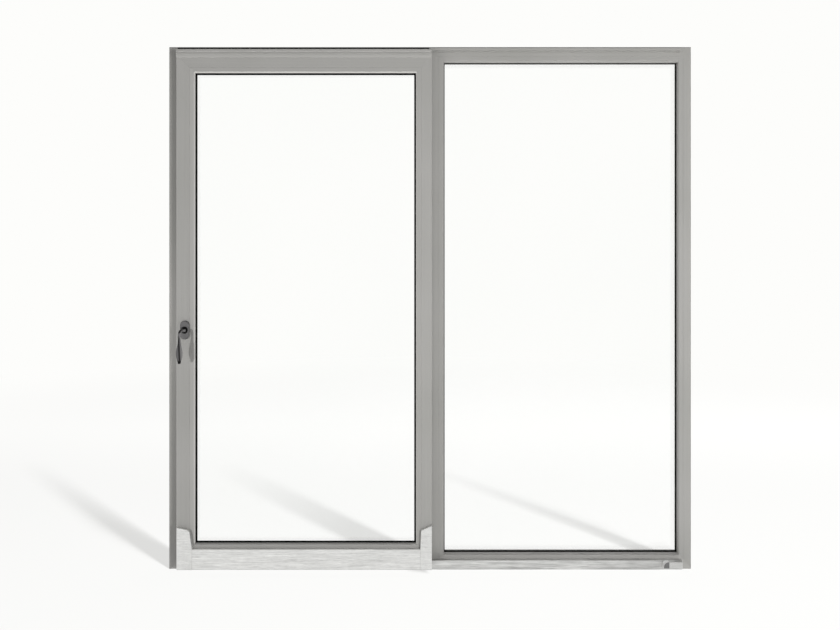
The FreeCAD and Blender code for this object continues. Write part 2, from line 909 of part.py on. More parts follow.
def flat_at(shapes, kind, depth):
    """Names of the faces or edges that lie flat at one depth."""
    names = []
    for number, shape in enumerate(shapes, start=1):
        box = shape.BoundBox
        if max(abs(box.YMin - depth), abs(box.YMax - depth)) < flat_tolerance:
            names.append(f"{kind}{number}")
    return names


def edge_at(shape, across, up):
    """Names of the edges that run straight back at one place of the front view."""
    names = []
    for number, edge in enumerate(shape.Edges, start=1):
        box = edge.BoundBox
        away = max(abs(box.Center.x - value(across)), abs(box.Center.z - value(up)))
        if max(away, box.XLength, box.ZLength) < flat_tolerance:
            names.append(f"Edge{number}")
    return names


def round_front(body, depth, radius):
    """Round over every edge of a body that lies at one depth."""
    base = body.Tip
    rim = flat_at(base.Shape.Edges, "Edge", value(depth))
    round_over = body.newObject("PartDesign::Fillet", f"{body.Name}_round")
    round_over.Base = (base, rim)
    round_over.setExpression("Radius", formula(radius))
    doc.recompute()


def make_rosette():
    """An oval plate with a rounded front and a bore for the handle's spindle."""
    body = new_body("handle_rosette")
    sketch = new_sketch(body, "XZ_Plane", "-(leaf_front)")
    half = "(rosette_height - rosette_width) / 2"
    radius = "rosette_width / 2"
    middle = FreeCAD.Vector(value("handle_across"), value("handle_height"), 0)
    up = FreeCAD.Vector(0, value(half), 0)
    tip = FreeCAD.Vector(0, value("rosette_height / 2"), 0)
    out = FreeCAD.Vector(value(radius), 0, 0)
    top = sketch.addGeometry(Part.Arc(middle + up + out, middle + tip, middle + up - out))
    left = sketch.addGeometry(Part.LineSegment(middle + up - out, middle - up - out))
    bottom = sketch.addGeometry(Part.Arc(middle - up - out, middle - tip, middle - up + out))
    right = sketch.addGeometry(Part.LineSegment(middle - up + out, middle + up + out))
    loop = [top, left, bottom, right]
    for one, following in zip(loop, loop[1:] + loop[:1]):
        sketch.addConstraint(Sketcher.Constraint("Tangent", one, 2, following, 1))
    pin(sketch, top, 3, "handle_across", f"handle_height + {half}")
    pin(sketch, bottom, 3, "handle_across", f"handle_height - {half}")
    bind(sketch, "Radius", (top,), radius)
    add_pad(body, sketch, "rosette_thick")
    doc.recompute()
    round_front(body, "rosette_front", "rosette_round")
    bore = new_sketch(body, "XZ_Plane", "0")
    draw_circle(bore, "handle_across", "handle_height", "spindle_radius + spindle_clear")
    add_cut(body, bore)


def round_pad(body, start, length, radius):
    """A cylinder on the handle's turning axis, from its start towards the room."""
    sketch = new_sketch(body, "XZ_Plane", f"-({start})")
    draw_circle(sketch, "handle_across", "handle_height", radius)
    return add_pad(body, sketch, length)


def add_section(body, depth, up, turn, width, thick):
    """An ellipse across the lever's axis, turned from facing the room towards facing down."""
    sketch = new_sketch(body, "XZ_Plane", f"-({depth})")
    offset = sketch.AttachmentOffset
    offset.Rotation = FreeCAD.Rotation(FreeCAD.Vector(1, 0, 0), turn)
    sketch.AttachmentOffset = offset
    sketch.setExpression("AttachmentOffset.Base.x", formula("handle_across"))
    sketch.setExpression("AttachmentOffset.Base.y", formula(up))
    sketch.setExpression("AttachmentOffset.Base.z", formula(f"-({depth})"))
    wide = FreeCAD.Vector(value(f"({width}) / 2"), 0, 0)
    tall = FreeCAD.Vector(0, value(f"({thick}) / 2"), 0)
    shape = sketch.addGeometry(Part.Ellipse(wide, tall, FreeCAD.Vector()))
    sketch.exposeInternalGeometry(shape)
    pin(sketch, shape, 3, "0", "0")
    pin(sketch, shape + 1, 2, f"({width}) / 2", "0")
    bind(sketch, "DistanceY", (-1, 1, shape + 2, 2), f"({thick}) / 2")
    return sketch


def draw_elbow(sketch, start):
    """The neck's path: straight out of the rosette, then a quarter turn down."""
    bend = "lever_depth + elbow_radius"
    low = "handle_height - elbow_radius"
    begin = FreeCAD.Vector(value(start), value("handle_height"), 0)
    corner = FreeCAD.Vector(value(bend), value("handle_height"), 0)
    centre = FreeCAD.Vector(value(bend), value(low), 0)
    circle = Part.Circle(centre, FreeCAD.Vector(0, 0, 1), value("elbow_radius"))
    line = sketch.addGeometry(Part.LineSegment(begin, corner))
    arc = sketch.addGeometry(Part.ArcOfCircle(circle, math.pi / 2, math.pi))
    sketch.addConstraint(Sketcher.Constraint("Coincident", line, 2, arc, 1))
    pin(sketch, line, 1, start, "handle_height")
    pin(sketch, line, 2, bend, "handle_height")
    pin(sketch, arc, 3, bend, low)
    sketch.addConstraint(Sketcher.Constraint("Horizontal", arc, 3, arc, 2))


def make_lever():
    """A neck that turns in the rosette, bends down in an elbow and widens into a teardrop blade."""
    body = new_body("handle_lever")
    hub_back = "rosette_front - spindle_clear"
    spindle_length = "spindle_depth + spindle_clear + hub_length"
    round_pad(body, "rosette_front + spindle_depth", spindle_length, "spindle_radius")
    hub = round_pad(body, hub_back, "hub_length", "hub_radius")
    hub.setExpression("TaperAngle", formula("hub_taper"))
    start = f"{hub_back} - hub_length / 2"
    neck = ("2 * neck_radius + neck_flat", "2 * neck_radius")
    path = new_sketch(body, "YZ_Plane", "handle_across")
    draw_elbow(path, start)
    elbow = body.newObject("PartDesign::AdditivePipe", "lever_elbow")
    elbow.Profile = add_section(body, start, "handle_height", facing_room, *neck)
    elbow.Spine = path
    doc.recompute()
    stations = [
        neck,
        ("waist_width", "blade_thick"),
        ("(waist_width + blade_width) / 2", "blade_thick"),
        ("blade_width", "blade_thick"),
        ("(3 * blade_width + tip_width) / 4", "blade_thick"),
        ("tip_width", "tip_thick"),
    ]
    sections = []
    step = f"(lever_drop - elbow_radius) / {len(stations) - 1}"
    for number, (width, thick) in enumerate(stations):
        up = f"handle_height - elbow_radius - {number} * {step}"
        sections.append(add_section(body, "lever_depth", up, facing_down, width, thick))
    blade = body.newObject("PartDesign::AdditiveLoft", "lever_blade")
    blade.Profile = sections[0]
    blade.Sections = sections[1:]
    doc.recompute()


make_frame()
make_mullion()
make_opening_trims()
fixed_sight = ("mullion_right", "sill_face", "fixed_right", "opening_top")
leaf_sight = ("leaf_sight_left", "leaf_sight_bottom", "leaf_sight_right", "leaf_sight_top")
make_beads("fixed_bead", "room_face", "fixed_bead_back", grown(fixed_sight, "rebate"), fixed_sight)
fixed_clear = ("mullion_right + mullion_gasket_sight", *grown(fixed_sight, "-fixed_gasket_sight")[1:])
make_glazing(
    "fixed",
    fixed_sight,
    fixed_clear,
    "lip_face",
    "fixed_outer_pane",
    "fixed_inner_pane",
    "fixed_cavity",
    "wedge",
)
make_opening_seal()
make_leaf_frame()
make_beads("leaf_bead", "leaf_front", "leaf_bead_back", grown(leaf_sight, "rebate"), leaf_sight)
make_glazing(
    "leaf",
    leaf_sight,
    grown(leaf_sight, "-leaf_gasket_sight"),
    "leaf_lip_face",
    "leaf_outer_pane",
    "leaf_inner_pane",
    "leaf_cavity",
    "gasket",
)
make_running_rail()
make_stop()
wheels = make_carriages()
shoes = make_guide()
make_top_cover()
make_bottom_cover()
make_cap(
    "left_cap",
    "left_cap_left",
    "+",
    "left_cap_base",
    "left_cap_width",
    "left_cap_height",
    "left_cap_slope",
    "left_cap_corner",
)
make_cap(
    "right_cap",
    "leaf_right",
    "-",
    "right_cap_base",
    "right_cap_width",
    "right_cap_height",
    "right_cap_slope",
    "right_cap_corner",
)
make_rosette()
make_lever()
doc.recompute()

inner_pieces = set(wheels.Links) | set(shoes.Links)
pieces = [item for item in doc.Objects if item.isDerivedFrom("PartDesign::Body")]
pieces = [item for item in pieces if item not in inner_pieces] + [wheels, shoes]

for item in doc.Objects:
    if "Invalid" in item.State or "Error" in item.State:
        raise RuntimeError(f"{item.Label} did not build: {item.State}")
for piece in pieces:
    if piece.Shape.isNull() or not piece.Shape.isValid():
        raise RuntimeError(f"{piece.Label} has no valid shape")

os.makedirs("parts", exist_ok=True)
for piece in pieces:
    piece.Shape.exportStep(os.path.join("parts", f"{piece.Label}.step"))
print(f"{len(pieces)} pieces written")
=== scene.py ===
import math

import bpy
import numpy as np
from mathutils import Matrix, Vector


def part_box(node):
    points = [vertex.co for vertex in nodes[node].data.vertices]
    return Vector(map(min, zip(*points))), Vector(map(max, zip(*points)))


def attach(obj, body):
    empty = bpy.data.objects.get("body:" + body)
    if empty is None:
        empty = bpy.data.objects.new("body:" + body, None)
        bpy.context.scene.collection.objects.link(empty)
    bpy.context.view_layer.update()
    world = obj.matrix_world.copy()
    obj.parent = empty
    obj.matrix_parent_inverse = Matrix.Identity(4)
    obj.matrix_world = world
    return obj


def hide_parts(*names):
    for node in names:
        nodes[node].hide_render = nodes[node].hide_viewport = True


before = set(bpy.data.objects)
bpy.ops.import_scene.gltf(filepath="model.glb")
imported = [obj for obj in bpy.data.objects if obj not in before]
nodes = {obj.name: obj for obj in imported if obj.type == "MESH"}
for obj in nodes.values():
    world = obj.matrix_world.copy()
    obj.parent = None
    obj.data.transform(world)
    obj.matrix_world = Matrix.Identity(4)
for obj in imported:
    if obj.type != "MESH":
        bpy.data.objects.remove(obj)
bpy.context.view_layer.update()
scene = bpy.context.scene
print("window frame loaded:", len(nodes), "pieces")


# node helpers: an input is a socket to link or a plain value to set
def addNode(tree, kind, inputs=None, **settings):
    node = tree.nodes.new(kind)
    for name, value in settings.items():
        setattr(node, name, value)
    for name, value in (inputs or {}).items():
        if isinstance(value, bpy.types.NodeSocket):
            tree.links.new(value, node.inputs[name])
        else:
            node.inputs[name].default_value = value
    return node


def mathNode(tree, operation, first, second=0.0):
    return addNode(tree, "ShaderNodeMath", {0: first, 1: second}, operation=operation).outputs[0]


def spread(tree, value, fromRange, toRange=(0.0, 1.0), curve="LINEAR"):
    limits = {"From Min": fromRange[0], "From Max": fromRange[1], "To Min": toRange[0], "To Max": toRange[1]}
    node = addNode(tree, "ShaderNodeMapRange", {"Value": value, **limits}, interpolation_type=curve)
    return node.outputs[0]


def ramp(tree, value, fromRange, toRange=(0.0, 1.0)):
    return spread(tree, value, fromRange, toRange, "SMOOTHSTEP")


def mixNode(tree, factor, first, second, kind="RGBA", blend="MIX"):
    inputs = {"Factor": factor, "A": first, "B": second}
    return addNode(tree, "ShaderNodeMix", inputs, data_type=kind, blend_type=blend).outputs["Result"]


def splitAxes(tree, vector):
    return addNode(tree, "ShaderNodeSeparateXYZ", {0: vector}).outputs


def surfaceNormal(tree):
    return addNode(tree, "ShaderNodeNewGeometry").outputs["Normal"]


def newGroup(name, inputs, outputs):
    tree = bpy.data.node_groups.new(name, "ShaderNodeTree")
    for label, kind, value in inputs:
        socket = tree.interface.new_socket(name=label, in_out="INPUT", socket_type=kind)
        socket.default_value = value
    for label, kind in outputs:
        tree.interface.new_socket(name=label, in_out="OUTPUT", socket_type=kind)
    return tree, tree.nodes.new("NodeGroupInput").outputs, tree.nodes.new("NodeGroupOutput").inputs


def placeGroup(tree, group, inputs):
    return addNode(tree, "ShaderNodeGroup", inputs, node_tree=group).outputs


# shared effects
effects = {
    "grainDetail": 5.0,
    "grainRoughness": 0.62,
    "patchDetail": 2.0,
    "patchSpread": (0.35, 0.65),
    "edgeSamples": 6,
    "edgeTurn": (1.0, 0.75),  # cosine between the rounded and the flat normal
    "bevelSlant": 0.7071,
    "bevelStrip": (0.12, 0.06),
    "bevelUpward": (0.2, 0.5),
    "bumpStrength": 0.5,
}


def makeLengthGrain():  # fine lines drawn out along one direction by an uneven stretch of the coordinates
    tree, source, sink = newGroup(
        "lengthGrain",
        [
            ("Coords", "NodeSocketVector", (0.0, 0.0, 0.0)),
            ("Stretch", "NodeSocketVector", (1.0, 1.0, 1.0)),
            ("Contrast", "NodeSocketFloat", 0.1),
        ],
        [("Tone", "NodeSocketFloat"), ("Height", "NodeSocketFloat")],
    )
    factors = {0: source["Coords"], 1: source["Stretch"]}
    drawnOut = addNode(tree, "ShaderNodeVectorMath", factors, operation="MULTIPLY").outputs[0]
    fineness = {"Scale": 1.0, "Detail": effects["grainDetail"], "Roughness": effects["grainRoughness"]}
    noise = addNode(tree, "ShaderNodeTexNoise", {"Vector": drawnOut, **fineness}).outputs["Fac"]
    swing = mathNode(tree, "MULTIPLY", mathNode(tree, "SUBTRACT", noise, 0.5), source["Contrast"])
    tree.links.new(mathNode(tree, "ADD", swing, 1.0), sink["Tone"])
    tree.links.new(noise, sink["Height"])
    return tree


def makeSoftPatches():  # slow drift between two near tones, as a coated surface shows
    tree, source, sink = newGroup(
        "softPatches",
        [
            ("Coords", "NodeSocketVector", (0.0, 0.0, 0.0)),
            ("Size", "NodeSocketFloat", 3.0),
            ("Light tone", "NodeSocketColor", (0.5, 0.5, 0.5, 1.0)),
            ("Dark tone", "NodeSocketColor", (0.4, 0.4, 0.4, 1.0)),
        ],
        [("Color", "NodeSocketColor")],
    )
    inputs = {"Vector": source["Coords"], "Scale": source["Size"], "Detail": effects["patchDetail"]}
    noise = addNode(tree, "ShaderNodeTexNoise", inputs).outputs["Fac"]
    share = spread(tree, noise, effects["patchSpread"])
    tree.links.new(mixNode(tree, share, source["Dark tone"], source["Light tone"]), sink["Color"])
    return tree


def makeEdgeRound():  # a softly rounded normal near edges, and a mask of where it turns
    tree, source, sink = newGroup(
        "edgeRound",
        [("Radius", "NodeSocketFloat", 0.001)],
        [("Normal", "NodeSocketVector"), ("Edge", "NodeSocketFloat")],
    )
    samples = effects["edgeSamples"]
    bevel = addNode(tree, "ShaderNodeBevel", {"Radius": source["Radius"]}, samples=samples).outputs[0]
    pair = {0: bevel, 1: surfaceNormal(tree)}
    turn = addNode(tree, "ShaderNodeVectorMath", pair, operation="DOT_PRODUCT").outputs["Value"]
    tree.links.new(bevel, sink["Normal"])
    tree.links.new(spread(tree, turn, effects["edgeTurn"]), sink["Edge"])
    return tree


# painted light and shade: slanted strips along the bars get one painted tone where they face down or aside,
# another where they face up
def makePaintedBevelLight():  # slanted strips along the bars: one tone facing down or aside, another facing up
    tree, source, sink = newGroup(
        "paintedBevelLight",
        [("Lit", "NodeSocketFloat", 1.3), ("Shaded", "NodeSocketFloat", 0.6)],
        [("Tone", "NodeSocketFloat")],
    )
    normal = splitAxes(tree, surfaceNormal(tree))
    slant = mathNode(tree, "ABSOLUTE", mathNode(tree, "ADD", normal["Y"], effects["bevelSlant"]))
    strip = spread(tree, slant, effects["bevelStrip"])
    upward = spread(tree, normal["Z"], effects["bevelUpward"])
    side = mixNode(tree, upward, source["Lit"], source["Shaded"], "FLOAT")
    tree.links.new(mixNode(tree, strip, 1.0, side, "FLOAT"), sink["Tone"])
    return tree


lengthGrain = makeLengthGrain()
softPatches = makeSoftPatches()
edgeRound = makeEdgeRound()
paintedBevelLight = makePaintedBevelLight()


# what the finishes share
def newFinish(name, sockets):
    material = bpy.data.materials.new(name)
    material.use_nodes = True
    tree = material.node_tree
    shader = tree.nodes["Principled BSDF"]
    for label, value in sockets.items():
        shader.inputs[label].default_value = value
    coords = tree.nodes.new("ShaderNodeTexCoord").outputs["Object"]
    return material, tree, shader, coords


def patchColor(tree, coords, size, tones):
    light, dark = tones
    inputs = {"Coords": coords, "Size": size, "Light tone": light, "Dark tone": dark}
    return placeGroup(tree, softPatches, inputs)["Color"]


def grainOf(tree, coords, stretch, contrast):
    return placeGroup(tree, lengthGrain, {"Coords": coords, "Stretch": stretch, "Contrast": contrast})


def scaledColor(tree, color, *tones):
    for tone in tones:
        color = mixNode(tree, 1.0, color, tone, blend="MULTIPLY")
    return color


def linkSurface(tree, shader, color, height, look, normal=None):
    tree.links.new(color, shader.inputs["Base Color"])
    tree.links.new(spread(tree, height, (0.0, 1.0), look["roughness"]), shader.inputs["Roughness"])
    if "bump" in look:
        inputs = {"Height": height, "Distance": look["bump"], "Strength": effects["bumpStrength"]}
        if normal is not None:
            inputs["Normal"] = normal
        tree.links.new(addNode(tree, "ShaderNodeBump", inputs).outputs["Normal"], shader.inputs["Normal"])


# warm light-grey coating with faint drawing lines along each bar, a painted highlight along its edges, and
# painted light and shade on its bevels
coating = {
    "tones": ((0.346, 0.340, 0.328, 1.0), (0.318, 0.314, 0.300, 1.0)),
    "patch": 2.3,
    "shine": 0.35,
    "edge": 0.0016,
    # painted highlight: how much lighter the colour turns along rounded edges
    "edgeHighlightLift": 1.12,
    "grain": 0.22,
    "roughness": (0.36, 0.48),
    "bump": 0.00006,
    "along": {"Upright": (420.0, 420.0, 1.6), "Crossbar": (1.6, 420.0, 420.0)},
    # painted light and shade on the bevels: for each coat, the painted tone of slanted strips that face down
    # or aside, then of those that face up
    "bevelLightShade": {  # tone of slanted strips that face down or aside, and of those that face up
        "frameCoat": (0.8, 0.2),
        "leafCoat": (1.05, 0.8),
        "fixedBeadCoat": (0.95, 0.7),
        "leafBeadCoat": (1.5, 0.66),
    },
}


def makeCoating(name, stretch, litBevel, shadedBevel):
    material, tree, shader, coords = newFinish(name, {"Specular IOR Level": coating["shine"]})
    patches = patchColor(tree, coords, coating["patch"], coating["tones"])
    grain = grainOf(tree, coords, stretch, coating["grain"])
    rounded = placeGroup(tree, edgeRound, {"Radius": coating["edge"]})
    # painted light and shade on the slanted bevel strips
    bevelLightShade = placeGroup(tree, paintedBevelLight, {"Lit": litBevel, "Shaded": shadedBevel})
    # painted highlight along the rounded edges
    paintedEdgeHighlight = spread(tree, rounded["Edge"], (0.0, 1.0), (1.0, coating["edgeHighlightLift"]))
    color = scaledColor(tree, patches, grain["Tone"], paintedEdgeHighlight, bevelLightShade["Tone"])
    linkSurface(tree, shader, color, grain["Height"], coating, rounded["Normal"])
    return material


# brushed silver of the cover, the caps, the running rail and its stop; drift is the darker patches' share of
# the colour, edge its radius and the lift of its painted highlight, foot the heights between which painted
# shade darkens it towards the bottom and how far
brushLook = {"patch": 6.0, "fineness": 4.0, "roughness": (0.34, 0.52), "bump": 0.00008}
brushed = {
    "cover": {
        "name": "brushedCover", "color": (0.72, 0.72, 0.71, 1.0), "metal": 0.85,
        "stretch": (9.0, 260.0, 260.0), "contrast": 0.9, "drift": 0.96,
        "edge": (0.0012, 1.12), "foot": (0.0285, 0.0245, 0.74),
    },
    "cap": {
        "name": "brushedCap", "color": (0.71, 0.71, 0.70, 1.0), "metal": 0.85,
        "stretch": (24.0, 240.0, 210.0), "contrast": 0.55, "drift": 0.96,
        "edge": (0.0012, 1.12), "foot": (0.0285, 0.0245, 0.74),
    },
    "rail": {
        "name": "drawnRail", "color": (0.56, 0.56, 0.55, 1.0), "metal": 0.5,
        "stretch": (5.0, 300.0, 300.0), "contrast": 1.6, "drift": 0.82,
        "edge": (0.0012, 1.12), "foot": (0.024, 0.012, 0.88),
    },
    "stop": {
        "name": "castStop", "color": (0.54, 0.54, 0.53, 1.0), "metal": 0.7,
        "stretch": (60.0, 120.0, 120.0), "contrast": 0.4, "drift": 0.9,
        "edge": (0.003, 1.5), "foot": (0.027, 0.025, 0.8),
    },
}


def makeBrushed(style):
    material, tree, shader, coords = newFinish(style["name"], {"Metallic": style["metal"]})
    dimmed = tuple(style["drift"] * part for part in style["color"][:3]) + (1.0,)
    patches = patchColor(tree, coords, brushLook["patch"], (style["color"], dimmed))
    coarse = grainOf(tree, coords, style["stretch"], style["contrast"])
    fineStretch = tuple(brushLook["fineness"] * part for part in style["stretch"])
    fine = grainOf(tree, coords, fineStretch, style["contrast"])
    radius, edgeHighlightLift = style["edge"]
    rounded = placeGroup(tree, edgeRound, {"Radius": radius})
    # painted highlight along the rounded edges
    paintedEdgeHighlight = ramp(tree, rounded["Edge"], (0.0, 1.0), (1.0, edgeHighlightLift))
    # painted shade: darker towards the bottom
    upper, lower, shade = style["foot"]
    foot = ramp(tree, splitAxes(tree, coords)["Z"], (upper, lower), (1.0, shade))
    color = scaledColor(tree, patches, coarse["Tone"], fine["Tone"], paintedEdgeHighlight, foot)
    linkSurface(tree, shader, color, fine["Height"], brushLook, rounded["Normal"])
    return material


# black glazing rubber, matt with a little bloom
rubberLook = {
    "tones": ((0.005, 0.005, 0.005, 1.0), (0.003, 0.003, 0.003, 1.0)),
    "patch": 40.0,
    "shine": 0.04,
    "stretch": (900.0, 900.0, 900.0),
    "contrast": 0.3,
    "roughness": (0.68, 0.9),
    "bump": 0.00005,
}


def makeRubber():
    material, tree, shader, coords = newFinish("glazingRubber", {"Specular IOR Level": rubberLook["shine"]})
    patches = patchColor(tree, coords, rubberLook["patch"], rubberLook["tones"])
    grain = grainOf(tree, coords, rubberLook["stretch"], rubberLook["contrast"])
    linkSurface(tree, shader, scaledColor(tree, patches, grain["Tone"]), grain["Height"], rubberLook)
    return material


# grey buffer rubber, with painted light over its rounded side
bufferLook = {
    "front": (0.13, 0.13, 0.13, 1.0),
    "rounded": (0.75, 0.75, 0.74, 1.0),
    "turn": (-0.9, -0.5),
    "shine": 0.15,
    "stretch": (700.0, 700.0, 700.0),
    "contrast": 0.3,
    "roughness": (0.68, 0.9),
    "bump": 0.00005,
}


def makeBuffer():
    material, tree, shader, coords = newFinish("bufferRubber", {"Specular IOR Level": bufferLook["shine"]})
    # painted light: the rounded side is coloured much lighter than the front
    turned = spread(tree, splitAxes(tree, surfaceNormal(tree))["Y"], bufferLook["turn"])
    tone = mixNode(tree, turned, bufferLook["front"], bufferLook["rounded"])
    grain = grainOf(tree, coords, bufferLook["stretch"], bufferLook["contrast"])
    linkSurface(tree, shader, scaledColor(tree, tone, grain["Tone"]), grain["Height"], bufferLook)
    return material


# black spacer, zinc-plated steel and nylon
plainLook = {"patch": 25.0, "contrast": 0.2, "edge": 0.0006, "bump": 0.00004}
plain = {
    "spacer": {
        "name": "spacerBlack", "metal": 0.0, "shine": 0.06, "roughness": (0.54, 0.66), "grain": 500.0,
        "tones": ((0.022, 0.022, 0.022, 1.0), (0.016, 0.016, 0.016, 1.0)),
    },
    "steel": {
        "name": "zincSteel", "metal": 0.9, "shine": 0.5, "roughness": (0.30, 0.42), "grain": 800.0,
        "tones": ((0.58, 0.58, 0.57, 1.0), (0.5, 0.5, 0.49, 1.0)),
    },
    "nylon": {
        "name": "darkNylon", "metal": 0.0, "shine": 0.5, "roughness": (0.44, 0.56), "grain": 700.0,
        "tones": ((0.055, 0.055, 0.055, 1.0), (0.045, 0.045, 0.045, 1.0)),
    },
}


def makePlain(style):
    sockets = {"Metallic": style["metal"], "Specular IOR Level": style["shine"]}
    material, tree, shader, coords = newFinish(style["name"], sockets)
    patches = patchColor(tree, coords, plainLook["patch"], style["tones"])
    grain = grainOf(tree, coords, (style["grain"],) * 3, plainLook["contrast"])
    rounded = placeGroup(tree, edgeRound, {"Radius": plainLook["edge"]})
    color = scaledColor(tree, patches, grain["Tone"])
    linkSurface(tree, shader, color, grain["Height"], {**plainLook, **style}, rounded["Normal"])
    return material


# clear float glass
glassLook = {"tones": ((0.999, 1.0, 0.999, 1.0), (0.994, 0.997, 0.995, 1.0)), "patch": 1.5, "ior": 1.45}


def makeGlass():
    sockets = {"Transmission Weight": 1.0, "IOR": glassLook["ior"], "Roughness": 0.0, "Metallic": 0.0}
    material, tree, shader, coords = newFinish("clearGlass", sockets)
    color = patchColor(tree, coords, glassLook["patch"], glassLook["tones"])
    tree.links.new(color, shader.inputs["Base Color"])
    return material


# dark titanium of the handle, with painted reflection: lighter flanks, the right one lighter, beside a dark
# spine, and a neck dark above and below; painted shade at its foot by the rosette; a black tip
handleLook = {
    "leftFlank": (0.115, 0.112, 0.115, 1.0),
    "rightFlank": (0.175, 0.171, 0.173, 1.0),
    "flankTurn": (-0.003, 0.004),
    "dark": (0.003, 0.003, 0.003, 1.0),
    "axis": (-0.921, -0.145, 0.92),
    "spineTop": -0.0022,
    "spineSlant": 0.0463,
    "spineEdge": (0.0012, 0.0055),
    "spineDepth": 0.93,
    "spineStart": (-0.012, -0.03),
    "tipStart": (-0.103, -0.111),
    "neckTurn": (0.3, 0.6),
    "foot": (0.036, 0.042),
    "shine": 0.1,
    "stretch": (1500.0, 1500.0, 300.0),
    "contrast": 0.3,
    "roughness": (0.24, 0.36),
    "bump": 0.00003,
}


def makeHandle():
    look = handleLook
    sockets = {"Metallic": 0.0, "Specular IOR Level": look["shine"]}
    material, tree, shader, coords = newFinish("handleTitanium", sockets)
    away = tuple(-part for part in look["axis"])
    centred = addNode(tree, "ShaderNodeMapping", {"Vector": coords, "Location": away}).outputs[0]
    parts = splitAxes(tree, centred)
    across, deep, up = (parts[axis] for axis in "XYZ")
    # the lever's colour on its flanks, with painted sheen that makes the right flank lighter
    flankColorAndSheen = mixNode(tree, ramp(tree, across, look["flankTurn"]), look["leftFlank"], look["rightFlank"])
    # painted reflection: a dark spine down the middle of the blade
    slanted = mathNode(tree, "MULTIPLY", up, look["spineSlant"])
    offSpine = mathNode(tree, "ADD", mathNode(tree, "SUBTRACT", across, look["spineTop"]), slanted)
    paintedSpineReflection = ramp(tree, mathNode(tree, "ABSOLUTE", offSpine), look["spineEdge"], (look["spineDepth"], 0.0))
    dark = mathNode(tree, "MULTIPLY", paintedSpineReflection, ramp(tree, up, look["spineStart"]))
    facing = tree.nodes.new("ShaderNodeTexCoord").outputs["Normal"]
    turned = mathNode(tree, "ABSOLUTE", splitAxes(tree, facing)["Z"])
    # painted reflection darkens the neck where it faces up or down, painted shade darkens the foot by the
    # rosette, and the tip turns black
    for value, limits in ((turned, "neckTurn"), (up, "tipStart"), (deep, "foot")):
        dark = mathNode(tree, "MAXIMUM", dark, ramp(tree, value, look[limits]))
    tone = mixNode(tree, dark, flankColorAndSheen, look["dark"])
    grain = grainOf(tree, coords, look["stretch"], look["contrast"])
    linkSurface(tree, shader, scaledColor(tree, tone, grain["Tone"]), grain["Height"], look)
    return material


# the rosette: mid grey, with painted shade where its rim turns away, and a painted highlight on its right
# side that lifts it there
rosetteLook = {
    "tones": ((0.125, 0.122, 0.124, 1.0), (0.108, 0.106, 0.108, 1.0)),
    "patch": 60.0,
    "shine": 0.4,
    "rimTurn": (-0.6, -0.98),
    "rimTone": 0.35,
    "sideTurn": (0.4, 0.8),
    "sideTone": 0.75,
    "stretch": (900.0, 900.0, 200.0),
    "contrast": 0.15,
    "roughness": (0.3, 0.42),
}


def makeRosette():
    look = rosetteLook
    sockets = {"Metallic": 0.0, "Specular IOR Level": look["shine"]}
    material, tree, shader, coords = newFinish("rosetteTitanium", sockets)
    patches = patchColor(tree, coords, look["patch"], look["tones"])
    facing = splitAxes(tree, surfaceNormal(tree))
    # painted shade on the rim, and a painted highlight on the right side
    paintedRimShade = spread(tree, facing["Y"], look["rimTurn"], (look["rimTone"], 1.0))
    tone = mathNode(tree, "ADD", paintedRimShade, ramp(tree, facing["X"], look["sideTurn"], (0.0, look["sideTone"])))
    grain = grainOf(tree, coords, look["stretch"], look["contrast"])
    linkSurface(tree, shader, scaledColor(tree, patches, tone, grain["Tone"]), grain["Height"], look)
    return material


# copies of the coating, one for each set of painted bevel light and shade and each direction of the grain
coats = {
    kind + way: makeCoating(kind + way, stretch, *tones)
    for kind, tones in coating["bevelLightShade"].items()
    for way, stretch in coating["along"].items()
}
finishes = {
    **{kind: makeBrushed(style) for kind, style in brushed.items()},
    **{kind: makePlain(style) for kind, style in plain.items()},
    "rubber": makeRubber(),
    "buffer": makeBuffer(),
    "glass": makeGlass(),
    "handle": makeHandle(),
    "rosette": makeRosette(),
}
print("finishes made:", len(finishes) + len(coats))

dressing = {
    "cover": ["bottom_cover"],
    "cap": ["left_cap", "right_cap"],
    "rail": ["running_rail"],
    "stop": ["rail_stop"],
    "rubber": [
        "fixed_gasket_room", "fixed_gasket_outside", "leaf_gasket_room", "leaf_gasket_outside",
        "opening_seal", "top_seal",
    ],
    "buffer": ["rail_buffer"],
    "spacer": ["fixed_spacer", "leaf_spacer"],
    "steel": ["left_carriage", "right_carriage"],
    "nylon": ["carriage_wheels", "guide_shoes"],
    "glass": ["fixed_pane_room", "fixed_pane_outside", "leaf_pane_room", "leaf_pane_outside"],
    "handle": ["handle_lever"],
    "rosette": ["handle_rosette"],
}
coated = {
    "frameCoatUpright": ["left_jamb", "right_jamb", "mullion"],
    "frameCoatCrossbar": ["head", "sill", "opening_trim_top", "opening_trim_bottom", "guide_rail"],
    "leafCoatUpright": ["lock_stile", "meeting_stile"],
    "leafCoatCrossbar": ["leaf_top_rail", "leaf_bottom_rail", "top_cover"],
    "fixedBeadCoatUpright": ["fixed_bead_left", "fixed_bead_right"],
    "fixedBeadCoatCrossbar": ["fixed_bead_top", "fixed_bead_bottom"],
    "leafBeadCoatUpright": ["leaf_bead_left", "leaf_bead_right"],
    "leafBeadCoatCrossbar": ["leaf_bead_top", "leaf_bead_bottom"],
}


def dress(piece, material):
    piece.data.materials.clear()
    piece.data.materials.append(material)


for chosen, materials in ((coated, coats), (dressing, finishes)):
    for finish, names in chosen.items():
        for name in names:
            dress(nodes[name], materials[finish])
for name in dressing["glass"]:
    nodes[name].visible_shadow = False  # clear glass lets the lamps and the soft light through
    nodes[name].visible_diffuse = False
print("CAD pieces dressed:", len(nodes))


